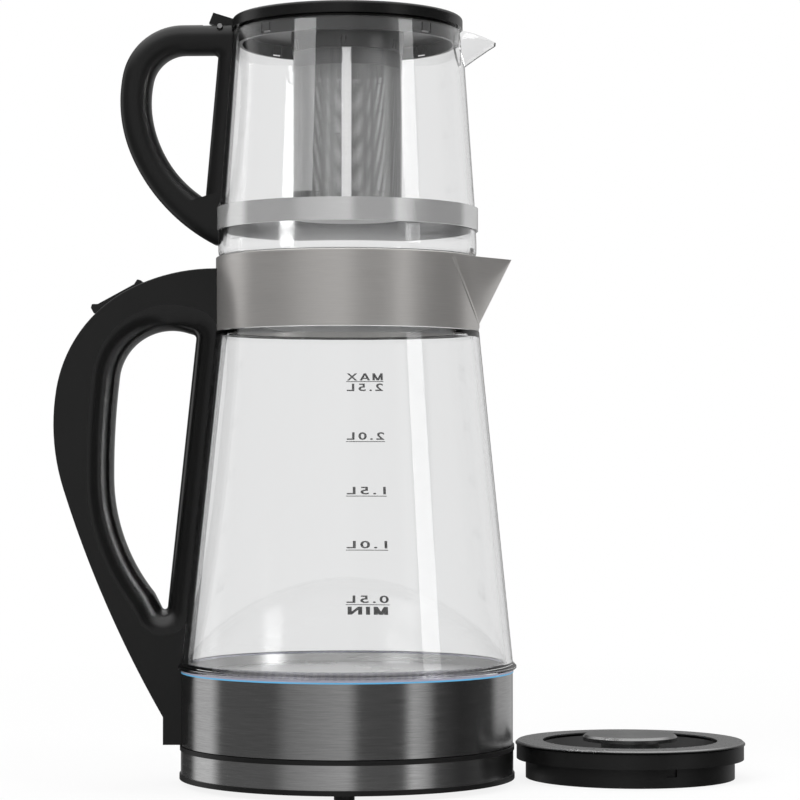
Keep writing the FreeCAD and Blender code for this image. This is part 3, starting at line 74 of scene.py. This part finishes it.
class Graph:
    """The node tree of a material or the world, with short calls to add and join its nodes."""

    def __init__(self, owner, out="ShaderNodeOutputMaterial"):
        owner.use_nodes = True
        self.tree = owner.node_tree
        self.tree.nodes.clear()
        self.out = self.add(out)

    def add(self, kind, **settings):
        made = self.tree.nodes.new(kind)
        for key, value in settings.items():
            setattr(made, key, value)
        return made

    def join(self, source, target):
        self.tree.links.new(source, target)

    def surface(self, colour, roughness, metallic=0.0, **sockets):
        shader = self.add("ShaderNodeBsdfPrincipled")
        shader.inputs["Base Color"].default_value = (*colour, 1.0)
        shader.inputs["Roughness"].default_value = roughness
        shader.inputs["Metallic"].default_value = metallic
        for key, value in sockets.items():
            shader.inputs[key.replace("_", " ")].default_value = value
        self.join(shader.outputs[0], self.out.inputs["Surface"])
        return shader

    def place(self, scale):
        """Object coordinates, stretched."""
        coords = self.add("ShaderNodeTexCoord")
        mapping = self.add("ShaderNodeMapping")
        mapping.inputs["Scale"].default_value = scale
        self.join(coords.outputs["Object"], mapping.inputs["Vector"])
        return mapping.outputs["Vector"]

    def noise(self, scale, detail=3.0, stretch=(1.0, 1.0, 1.0), roughness=0.55):
        made = self.add("ShaderNodeTexNoise")
        made.inputs["Scale"].default_value = scale
        made.inputs["Detail"].default_value = detail
        made.inputs["Roughness"].default_value = roughness
        self.join(self.place(stretch), made.inputs["Vector"])
        return made.outputs["Fac"]

    def maths(self, operation, first, second=None):
        made = self.add("ShaderNodeMath", operation=operation)
        for socket, value in zip(made.inputs, (first, second)):
            if isinstance(value, (int, float)):
                socket.default_value = value
            elif value is not None:
                self.join(value, socket)
        return made.outputs[0]

    def split(self, coordinate="Object"):
        """The three parts of a coordinate."""
        coords = self.add("ShaderNodeTexCoord")
        made = self.add("ShaderNodeSeparateXYZ")
        self.join(coords.outputs[coordinate], made.inputs["Vector"])
        return made.outputs

    def turn(self, coordinate="Object"):
        """The angle round the upright axis in radians: 0 is the front, and right is positive."""
        parts = self.split(coordinate)
        return self.maths("ARCTAN2", parts["X"], self.maths("MULTIPLY", parts["Y"], -1.0))

    def reach(self):
        """The distance from the upright axis."""
        length = self.add("ShaderNodeVectorMath", operation="LENGTH")
        self.join(self.place((1.0, 1.0, 0.0)), length.inputs[0])
        return length.outputs["Value"]

    def span(self, value, low, high, source=(0.0, 1.0)):
        made = self.add("ShaderNodeMapRange")
        made.inputs["From Min"].default_value = source[0]
        made.inputs["From Max"].default_value = source[1]
        made.inputs["To Min"].default_value = low
        made.inputs["To Max"].default_value = high
        self.join(value, made.inputs["Value"])
        return made.outputs["Result"]

    def ramp(self, value, stops):
        made = self.add("ShaderNodeValToRGB")
        band = made.color_ramp
        while len(band.elements) < len(stops):
            band.elements.new(0.5)
        for element, (at, colour) in zip(band.elements, stops):
            element.position = at
            element.color = (*colour, 1.0)
        self.join(value, made.inputs["Fac"])
        return made.outputs["Color"]

    def bump(self, shader, height, strength, distance):
        made = self.add("ShaderNodeBump")
        made.inputs["Strength"].default_value = strength
        made.inputs["Distance"].default_value = distance
        self.join(height, made.inputs["Height"])
        self.join(made.outputs["Normal"], shader.inputs["Normal"])


def paint(name):
    """A new material's graph, kept by name."""
    PAINTS[name] = bpy.data.materials.new(name)
    return Graph(PAINTS[name])


def grey(value, warm=0.0):
    return (value * (1 + warm), value, value * (1 - warm))


def moulded(name, shade, roughness, grain=900.0, depth=0.00002, **sockets):
    """Moulded plastic with a fine spark-eroded grain and faint flow in its shade."""
    graph = paint(name)
    shader = graph.surface(grey(shade), roughness, **sockets)
    flow = graph.noise(14.0, 2.0)
    tone = graph.ramp(flow, [(0.3, grey(shade * 0.85)), (0.7, grey(shade * 1.15))])
    graph.join(tone, shader.inputs["Base Color"])
    fine = graph.noise(grain, 2.0)
    graph.join(graph.span(fine, roughness - 0.05, roughness + 0.06), shader.inputs["Roughness"])
    graph.bump(shader, fine, 0.35, depth)


def plate_with_painted_dish_shade(name, shade, roughness, floor, edge):
    """A satin plate whose dish, below a height, is painted black as painted shade for the recess.
    """
    graph = paint(name)
    shader = graph.surface(grey(shade), roughness, 0.9)
    fleck = graph.noise(900.0, 2.0, (0.2, 0.2, 1.0))
    # Below the dish edge the colour drops to the dark floor shade: painted shade in the recess.
    high = graph.span(graph.split()["Z"], 0.0, 1.0, (edge - 0.4 * MM, edge))
    flecked_shade_mask = graph.maths("MULTIPLY", high, graph.span(fleck, 0.85, 1.15))
    tone = graph.ramp(flecked_shade_mask, [(0.0, grey(floor)), (1.0, grey(shade))])
    graph.join(tone, shader.inputs["Base Color"])
    graph.join(graph.span(fleck, roughness - 0.05, roughness + 0.05), shader.inputs["Roughness"])
    graph.bump(shader, fleck, 0.3, 0.000004)


def brushed(name, shade, roughness, warm=0.0, metallic=1.0, depth=0.000012, contrast=0.16):
    """Steel brushed round its axis, with fine lines in its shade and gloss."""
    graph = paint(name)
    shader = graph.surface(
        grey(shade, warm), roughness, metallic, Anisotropic=0.5, Anisotropic_Rotation=0.25)
    round_the_axis = (0.03, 0.03, 1.0)
    line = graph.noise(2600.0, 4.0, round_the_axis, 0.7)
    wide = graph.noise(500.0, 2.0, round_the_axis)
    dark = grey(shade * (1 - contrast), warm)
    light = grey(min(shade * (1 + contrast), 1.0), warm)
    graph.join(graph.ramp(line, [(0.25, dark), (0.75, light)]), shader.inputs["Base Color"])
    graph.join(graph.span(wide, roughness - 0.06, roughness + 0.08), shader.inputs["Roughness"])
    graph.bump(shader, line, 0.5, depth)
    tangent = graph.add("ShaderNodeTangent", direction_type="RADIAL", axis="Z")
    graph.join(tangent.outputs["Tangent"], shader.inputs["Tangent"])


def glass(name, tint, roughness=0.0, wave_depth=0.0004):
    """Clear glass or silicone with faint waves drawn up its wall."""
    graph = paint(name)
    shader = graph.surface(tint, roughness, 0.0, IOR=1.47, Transmission_Weight=1.0)
    wave = graph.noise(16.0, 1.0, (1.0, 1.0, 0.25))
    graph.bump(shader, wave, 0.08, wave_depth)


def woven(name, shade, radius, pitch, open_share):
    """Fine wire mesh round the upright axis: open squares between crossing wires."""
    graph = paint(name)
    shader = graph.surface(grey(shade), 0.34, 1.0)
    soft = 0.1
    wires_round = round(2 * math.pi * radius / pitch)
    wires = []
    for value, rate in ((graph.turn(), wires_round / 2), (graph.split()["Z"], math.pi / pitch)):
        wave = graph.maths("SINE", graph.maths("MULTIPLY", value, rate))
        wires.append(graph.maths("ABSOLUTE", wave))
    gap = graph.maths("MINIMUM", wires[0], wires[1])
    edge = math.sin(math.pi / 2 * (1 - open_share))
    graph.join(graph.span(gap, 1.0, 0.0, (edge - soft, edge + soft)), shader.inputs["Alpha"])
    streak = graph.noise(220.0, 2.0, (1.0, 1.0, 0.02))
    tone = graph.ramp(streak, [(0.3, grey(shade * 0.75)), (0.7, grey(shade * 1.1))])
    graph.join(tone, shader.inputs["Base Color"])
    graph.bump(shader, gap, 0.5, 0.0001)


def lit_ring(name, blue, clear, line_top, outside):
    """A clear ring whose lower outside edge glows."""
    graph = paint(name)
    shader = graph.surface(clear, 0.25, 0.0)
    low = graph.span(graph.split()["Z"], 1.0, 0.0, (line_top - 0.1 * MM, line_top + 0.1 * MM))
    outer = graph.span(graph.reach(), 0.0, 1.0, (outside - 0.2 * MM, outside))
    line = graph.maths("MULTIPLY", low, outer)
    patchy = graph.maths("MULTIPLY", line, graph.span(graph.noise(40.0, 1.0), 0.8, 1.2))
    graph.join(graph.ramp(patchy, [(0.0, clear), (1.0, blue)]), shader.inputs["Base Color"])
    shader.inputs["Emission Color"].default_value = (*blue, 1.0)
    graph.join(graph.span(patchy, 0.0, 0.25), shader.inputs["Emission Strength"])


def make_paints():
    moulded("matte_black", 0.006, 0.42)
    moulded("satin_black", 0.006, 0.34, 1400.0, 0.00001)
    moulded("lid_black", 0.006, 0.24, 1400.0, 0.000006)
    moulded("gloss_black", 0.004, 0.22, 1400.0, 0.000006, Coat_Weight=0.3)
    moulded("black_rubber", 0.02, 0.7, 500.0)
    moulded("cream_plastic", 0.62, 0.5)
    moulded("pale_plastic", 0.72, 0.3)
    moulded("board_green", 0.08, 0.4)
    moulded("lamp_lens", 0.7, 0.2)
    moulded("ink", 0.035, 0.5)
    moulded("pot_ink", 0.02, 0.5)
    brushed("band_steel", 0.58, 0.17)
    brushed("trim_steel", 0.72, 0.17)
    brushed("collar_steel", 0.74, 0.36, 0.03, metallic=0.85, depth=0.000003, contrast=0.04)
    brushed("pot_steel", 0.92, 0.14, metallic=0.75, contrast=0.04, depth=0.000002)
    brushed("pan_steel", 0.60, 0.28, contrast=0.08, metallic=0.8)
    brushed("lid_steel", 0.30, 0.26, contrast=0.05, depth=0.000003)
    # The lid plate's dish is painted black below its edge: painted shade for the recess.
    plate_with_painted_dish_shade("dish_plate_painted_shade", 0.30, 0.28, 0.004, LID_DISH_EDGE * MM)
    brushed("inner_metal", 0.6, 0.35)
    brushed("brass", 0.55, 0.3, 0.2)
    glass("kettle_clear", (0.965, 0.967, 0.968))
    glass("pot_clear", (0.972, 0.973, 0.974))
    glass("silicone", (0.80, 0.79, 0.86), 0.2, 0.0001)
    woven("wire_mesh", 0.24, MESH_RADIUS * MM, 0.52 * MM, 0.68)
    woven("hem_mesh", 0.12, MESH_RADIUS * MM, 0.9 * MM, 0.45)
    blue = (0.09, 0.33, 0.55)
    clear = (0.36, 0.35, 0.43)
    lit_ring("ring_light", blue, clear, LIGHT_LINE_TOP * MM, LIGHT_RING_RADIUS * MM)


# Which CAD pieces wear each material.
FINISH = {
    "matte_black": [
        "base_shell", "base_top_plate", "base_socket", "kettle_bottom_cover", "kettle_handle_shell",
        "kettle_connector", "kettle_lid_body",
    ],
    "satin_black": ["teapot_handle", "infuser_ring", "infuser_collar"],
    "lid_black": ["teapot_lid"],
    "gloss_black": ["kettle_handle_grip", "handle_rocker"],
    "black_rubber": ["base_feet", "base_cord_gland", "handle_wires", "teapot_lid_gasket"],
    "pale_plastic": ["collar_liner"],
    "cream_plastic": ["kettle_chassis", "thermostat_control", "switch_module"],
    "board_green": ["led_board"],
    "lamp_lens": ["led_lamps"],
    "band_steel": ["body_band"],
    "trim_steel": ["base_trim_ring"],
    "collar_steel": ["collar_band", "pouring_spout"],
    "pot_steel": ["teapot_band"],
    "pan_steel": ["heater_plate", "infuser_base"],
    "lid_steel": ["kettle_lid_knob"],
    "dish_plate_painted_shade": ["kettle_lid_plate"],
    "inner_metal": [
        "base_screws", "bottom_cover_screws", "heat_spreader", "heating_element", "rocker_pin",
        "handle_screws", "lid_hinge_pin", "kettle_lid_screws",
    ],
    "brass": ["socket_contact_rings", "connector_pins", "element_terminals"],
    "kettle_clear": ["kettle_glass"],
    "pot_clear": ["teapot_glass"],
    "silicone": ["glass_base_gasket", "glass_top_gasket"],
    "wire_mesh": ["infuser_mesh"],
    "ring_light": ["light_ring"],
}


def dress_nodes():
    for name, pieces in FINISH.items():
        for piece in pieces:
            slots = nodes[piece].data.materials
            slots.clear()
            slots.append(PAINTS[name])


def wall_radius(height, wall):
    (foot, low), (top, high) = wall
    return foot + (top - foot) * (height - low) / (high - low)


def print_on(name, flat, centre, height, wall, body, ink):
    """Lays a flat mesh on the far wall, so that it reads from behind.

    The mesh is in radians across and millimetres up. The centre is in radians from the back
    towards the photograph's right.
    """
    for vertex in flat.vertices:
        up = height + vertex.co.y
        radius = wall_radius(up, wall) + INK_LIFT
        angle = centre - vertex.co.x
        vertex.co = Vector((radius * math.sin(angle), radius * math.cos(angle), up)) * MM
    piece = bpy.data.objects.new(name, flat)
    bpy.context.scene.collection.objects.link(piece)
    flat.materials.clear()
    flat.materials.append(PAINTS[ink])
    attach(piece, body)


def lettering(words, width, height, weight=0.0, gap=1.0):
    """Flat letters on a baseline, centred across and stretched to a size, fine enough to bend."""
    curve = bpy.data.curves.new(f"{words}_letters", "FONT")
    curve.body = words
    curve.offset = weight
    curve.space_character = gap
    curve.resolution_u = 3
    holder = bpy.data.objects.new("letters", curve)
    bpy.context.scene.collection.objects.link(holder)
    bpy.context.view_layer.update()
    solved = holder.evaluated_get(bpy.context.evaluated_depsgraph_get())
    made = bpy.data.meshes.new_from_object(solved)
    bpy.data.objects.remove(holder)
    across = [vertex.co.x for vertex in made.vertices]
    up = [vertex.co.y for vertex in made.vertices]
    for vertex in made.vertices:
        share = (vertex.co.x - min(across)) / (max(across) - min(across))
        vertex.co.x = (share - 0.5) * width
        vertex.co.y = (vertex.co.y - min(up)) / (max(up) - min(up)) * height
    return made


# Straight-sided capitals: each stroke runs between two points of a unit square.
CAPITALS = {
    "M": [((0, 0), (0, 1)), ((0, 1), (0.5, 0)), ((0.5, 0), (1, 1)), ((1, 1), (1, 0))],
    "A": [((0, 0), (0.5, 1)), ((0.5, 1), (1, 0)), ((0.18, 0.3), (0.82, 0.3))],
    "X": [((0, 0), (1, 1)), ((0, 1), (1, 0))],
    "I": [((0.5, 0), (0.5, 1))],
    "N": [((0, 0), (0, 1)), ((0, 1), (1, 0)), ((1, 0), (1, 1))],
}


def capitals(words, width, height, weight):
    """Bold capitals on a baseline, centred across, of strokes that are cut level at their ends."""
    made = bpy.data.meshes.new(f"{words}_capitals")
    shape = bmesh.new()
    narrow, gap, bar, cuts = 0.35, 0.22, 0.09, 4
    shares = [narrow if letter == "I" else 1.0 for letter in words]
    unit = width / (sum(shares) + gap * (len(words) - 1))
    start = -width / 2
    for letter, share in zip(words, shares):
        room = unit * share - weight
        for (x0, y0), (x1, y1) in CAPITALS[letter]:
            level = y0 == y1
            half = (0, bar * height) if level else (weight / 2, 0)
            pairs = []
            for step in range(cuts + 1):
                x = start + weight / 2 + (x0 + (x1 - x0) * step / cuts) * room
                y = (y0 + (y1 - y0) * step / cuts) * height
                ends = [(x + side * half[0], y + side * half[1], 0) for side in (-1, 1)]
                pairs.append([shape.verts.new(end) for end in ends])
            for a, b in zip(pairs, pairs[1:]):
                shape.faces.new((a[0], a[1], b[1], b[0]))
        start += unit * (share + gap)
    shape.to_mesh(made)
    shape.free()
    return made


def stripe(width, height, count=12):
    """A flat line centred on the origin, cut so that it can bend."""
    made = bpy.data.meshes.new("stripe")
    shape = bmesh.new()
    rows = []
    for y in (-height / 2, height / 2):
        rows.append([shape.verts.new((width * (i / count - 0.5), y, 0)) for i in range(count + 1)])
    for i in range(count):
        shape.faces.new((rows[0][i], rows[0][i + 1], rows[1][i + 1], rows[1][i]))
    shape.to_mesh(made)
    shape.free()
    return made


def kettle_marks():
    """The litre scale printed on the far side of the kettle."""
    middle = 0.120
    wide = 0.29
    letter = 4.1
    over, under = 0.9, 1.0
    for words, height in LITRE_LEVELS:
        tag = words.replace(".", "_")
        base = height - under - letter if words == "2.5L" else height + over
        letters = lettering(words, wide, letter, 0.02, 1.3)
        print_on(f"kettle_mark_{tag}", letters, middle, base, KETTLE_WALL, "kettle", "ink")
        rule = stripe(0.30, 0.4)
        print_on(f"kettle_line_{tag}", rule, middle, height, KETTLE_WALL, "kettle", "ink")
    top = capitals("MAX", wide, 3.8, 0.019)
    max_foot = 206.5
    print_on("kettle_mark_max", top, middle, max_foot, KETTLE_WALL, "kettle", "ink")
    low = capitals("MIN", 0.275, 4.3, 0.028)
    min_foot = 80.9
    print_on("kettle_mark_min", low, middle, min_foot, KETTLE_WALL, "kettle", "ink")


def pot_marks():
    """The millilitre scale on the far side of the teapot."""
    words_at, ticks_from, cup_ticks_at = -0.205, 0.056, 0.287
    thick, cuts = 0.45, 3
    wall, body, ink = POT_WALL, "teapot", "pot_ink"
    marks = (("1000ml", 0.05), ("700ml", 0.07), ("400ml", 0.10))
    for (words, width), height in zip(marks, CUP_LEVELS[::2]):
        letters = lettering(words, 0.24, 3.8)
        print_on(f"pot_mark_{words}", letters, words_at, height - 2.2, wall, body, ink)
        tick = stripe(width, thick, cuts)
        print_on(f"pot_tick_{words}", tick, ticks_from + width / 2, height, wall, body, ink)
    for index, height in enumerate(CUP_LEVELS):
        tick = stripe(0.084, thick, cuts)
        print_on(f"pot_cup_tick_{index}", tick, cup_ticks_at, height, wall, body, ink)


def ribbon(name, path, radius, width, thickness, material, body, aside=0.0):
    """A thin strip with rounded long edges, wrapped on a round wall.

    The path is (angle from the front towards the right, height) in radians and millimetres, and
    aside moves the strip to its left.
    """
    columns = 8
    flat = [(angle * radius, up) for angle, up in path]
    shape = bmesh.new()
    grid = []
    for i, (across, up) in enumerate(flat):
        before = flat[max(i - 1, 0)]
        after = flat[min(i + 1, len(flat) - 1)]
        run = Vector((after[0] - before[0], after[1] - before[1])).normalized()
        line = []
        for column in range(columns + 1):
            share = 2 * column / columns - 1
            out = radius + thickness * math.sqrt(max(1 - share ** 4, 0))
            shift = aside + share * width / 2
            angle = (across - run.y * shift) / radius
            height = up + run.x * shift
            point = Vector((out * math.sin(angle), -out * math.cos(angle), height)) * MM
            line.append(shape.verts.new(point))
        grid.append(line)
    for below, above in zip(grid, grid[1:]):
        for i in range(columns):
            shape.faces.new((below[i], below[i + 1], above[i + 1], above[i]))
    made = bpy.data.meshes.new(name)
    shape.to_mesh(made)
    shape.free()
    for face in made.polygons:
        face.use_smooth = True
    piece = bpy.data.objects.new(name, made)
    bpy.context.scene.collection.objects.link(piece)
    made.materials.append(PAINTS[material])
    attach(piece, body)


def upright(degrees, low, high, rows=24):
    """A straight path up a wall."""
    return [(math.radians(degrees), low + (high - low) * row / rows) for row in range(rows + 1)]


def sheet_seams():
    """The mesh's lap at the front and hem at its top, and the steel bands' welds at the back."""
    lap = upright(0, 287.8, 370.4)
    ribbon("mesh_seam", lap, MESH_RADIUS, 4.8, 0.14, "pot_steel", "infuser")
    hem_middle = 366.3
    round_the_mesh = [(math.radians(degrees), hem_middle) for degrees in range(-180, 181, 5)]
    ribbon("mesh_hem", round_the_mesh, MESH_RADIUS, 8.3, 0.1, "hem_mesh", "infuser")
    weld_at = 165
    body_weld = upright(weld_at, 20.6, 55.6)
    ribbon("band_weld", body_weld, BODY_BAND_RADIUS, 0.9, 0.05, "inner_metal", "kettle")
    pot_weld = upright(weld_at, 280.8, 291.1)
    ribbon("pot_band_weld", pot_weld, POT_BAND_RADIUS, 0.8, 0.05, "inner_metal", "teapot")


def spout_flange():
    """The folded edge that fixes the spout, along the slanting line where it meets the collar."""
    foot = 232.5
    rise = 33.0
    slant_depth = 13.7
    steps = 24
    centre_up = rise * COLLAR_RADIUS / slant_depth
    side = math.acos(1 - rise / centre_up)
    path = []
    for step in range(-steps, steps + 1):
        turn = side * step / steps
        path.append((math.pi / 2 + turn, foot + centre_up * (1 - math.cos(turn))))
    ribbon("spout_flange", path, COLLAR_RADIUS, 2.2, 0.35, "collar_steel", "kettle",
           aside=-0.9)


def stage_floor():
    """A pale floor, white far from the object, that keeps the object's shadow."""
    bpy.ops.mesh.primitive_plane_add(size=8.0, location=(0, 0, 0))
    floor = bpy.context.object
    floor.name = "studio_floor"
    graph = paint("floor_paint")
    shader = graph.surface(grey(FLOOR_SHADE), 0.7)
    fade = graph.noise(3.0, 2.0)
    darker, paler = grey(FLOOR_SHADE - 0.005), grey(FLOOR_SHADE + 0.005)
    graph.join(graph.ramp(fade, [(0.3, darker), (0.7, paler)]), shader.inputs["Base Color"])
    white = graph.add("ShaderNodeEmission")
    white.inputs["Color"].default_value = (1.0, 1.0, 1.0, 1.0)
    rays = graph.add("ShaderNodeLightPath").outputs
    level = graph.span(rays["Is Camera Ray"], THROUGH_GLASS, 1.0)
    graph.join(level, white.inputs["Strength"])
    seen = graph.maths("MAXIMUM", rays["Is Camera Ray"], rays["Is Transmission Ray"])
    near, far, white_near = 0.2, 0.9, 0.86
    share = graph.maths("MULTIPLY", seen, graph.span(graph.reach(), white_near, 1.0, (near, far)))
    blend = graph.add("ShaderNodeMixShader")
    graph.join(share, blend.inputs["Fac"])
    graph.join(shader.outputs[0], blend.inputs[1])
    graph.join(white.outputs[0], blend.inputs[2])
    graph.join(blend.outputs[0], graph.out.inputs["Surface"])
    floor.data.materials.append(PAINTS["floor_paint"])
    floor.visible_glossy = False


def soft_light(name, at, aim, size, power, height=None):
    """A soft box that lights the object and isn't itself seen or mirrored."""
    lamp = bpy.data.lights.new(name, "AREA")
    lamp.shape = "RECTANGLE"
    lamp.size = size
    lamp.size_y = height or size
    lamp.energy = power
    holder = bpy.data.objects.new(name, lamp)
    bpy.context.scene.collection.objects.link(holder)
    holder.location = at
    holder.rotation_euler = (Vector(aim) - Vector(at)).to_track_quat("-Z", "Y").to_euler()
    holder.visible_camera = False
    holder.visible_glossy = False


def light_room():
    """A white room to the eye and through glass, and one of soft light and dark panels to gloss."""
    world = bpy.data.worlds.new("studio")
    bpy.context.scene.world = world
    graph = Graph(world, "ShaderNodeOutputWorld")
    back = graph.add("ShaderNodeBackground")
    back.inputs["Color"].default_value = (1.0, 1.0, 1.0, 1.0)
    graph.join(back.outputs[0], graph.out.inputs["Surface"])
    rays = graph.add("ShaderNodeLightPath").outputs
    share = graph.span(graph.turn("Generated"), 0.0, 1.0, (-math.pi, math.pi))
    bands = graph.ramp(share, [((angle + 180) / 360, grey(level)) for angle, level in ROOM_BANDS])
    up = graph.split("Generated")["Z"]
    ceiling = graph.span(up, 0.0, 1.3, (0.35, 0.75))
    mirrored = graph.maths("MAXIMUM", bands, ceiling)
    lit = graph.maths("MULTIPLY", rays["Is Diffuse Ray"], ROOM_LIGHT)
    glossy = graph.maths("MULTIPLY", rays["Is Glossy Ray"], mirrored)
    through = graph.maths("MULTIPLY", rays["Is Transmission Ray"], THROUGH_GLASS)
    seen = graph.maths("MAXIMUM", rays["Is Camera Ray"], through)
    plain = graph.maths("MAXIMUM", seen, lit)
    graph.join(graph.maths("MAXIMUM", plain, glossy), back.inputs["Strength"])
    middle = (0.0, 0.0, 0.2)
    soft_light("key_left", (-1.0, -1.1, 1.2), middle, 0.7, 16.0, 1.2)
    soft_light("fill_right", (1.3, -0.7, 0.7), middle, 0.4, 9.0, 1.3)
    soft_light("top_soft", (0.0, 0.2, 1.8), middle, 1.2, 12.0)


def set_camera():
    camera = bpy.data.cameras.new("photo_camera")
    camera.lens = CAMERA_LENS
    camera.sensor_width = SENSOR
    camera.clip_start = 0.01
    holder = bpy.data.objects.new("photo_camera", camera)
    bpy.context.scene.collection.objects.link(holder)
    holder.location = CAMERA_AT
    holder.rotation_euler = (math.radians(90 + CAMERA_PITCH), 0, 0)
    bpy.context.scene.camera = holder


bpy.context.scene.view_settings.view_transform = "Standard"
set_camera()
make_paints()
dress_nodes()
kettle_marks()
pot_marks()
sheet_seams()
spout_flange()
stage_floor()
light_room()
